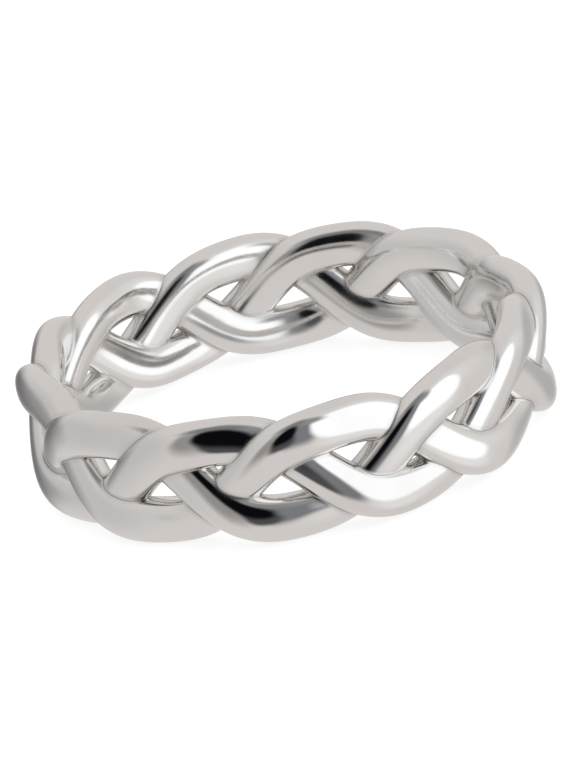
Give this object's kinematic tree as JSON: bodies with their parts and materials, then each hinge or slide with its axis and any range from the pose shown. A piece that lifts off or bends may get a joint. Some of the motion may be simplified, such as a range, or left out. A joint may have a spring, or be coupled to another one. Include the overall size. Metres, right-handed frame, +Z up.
{
  "type": "twisted wedding band",
  "caption": "Twisted wedding band of polished silver: rounded strands plaited over and under round the finger hole, cast as one piece, with small gaps between the strands.",
  "frame": {"origin": "on the axis of the finger hole, at the level of the flat surface that the lower lobes rest on", "axes": "+Z up along the finger hole, as the ring lies on its side; +X and +Y across the hole, with +Y away from the viewer of the picture"},
  "size_m": [0.0212, 0.0212, 0.0052],
  "materials": {
    "polished_silver": "cast silver, polished to a mirror, with fine handling scratches"
  },
  "bodies": {
    "root": {"band": "polished_silver"}
  },
  "joints": []
}
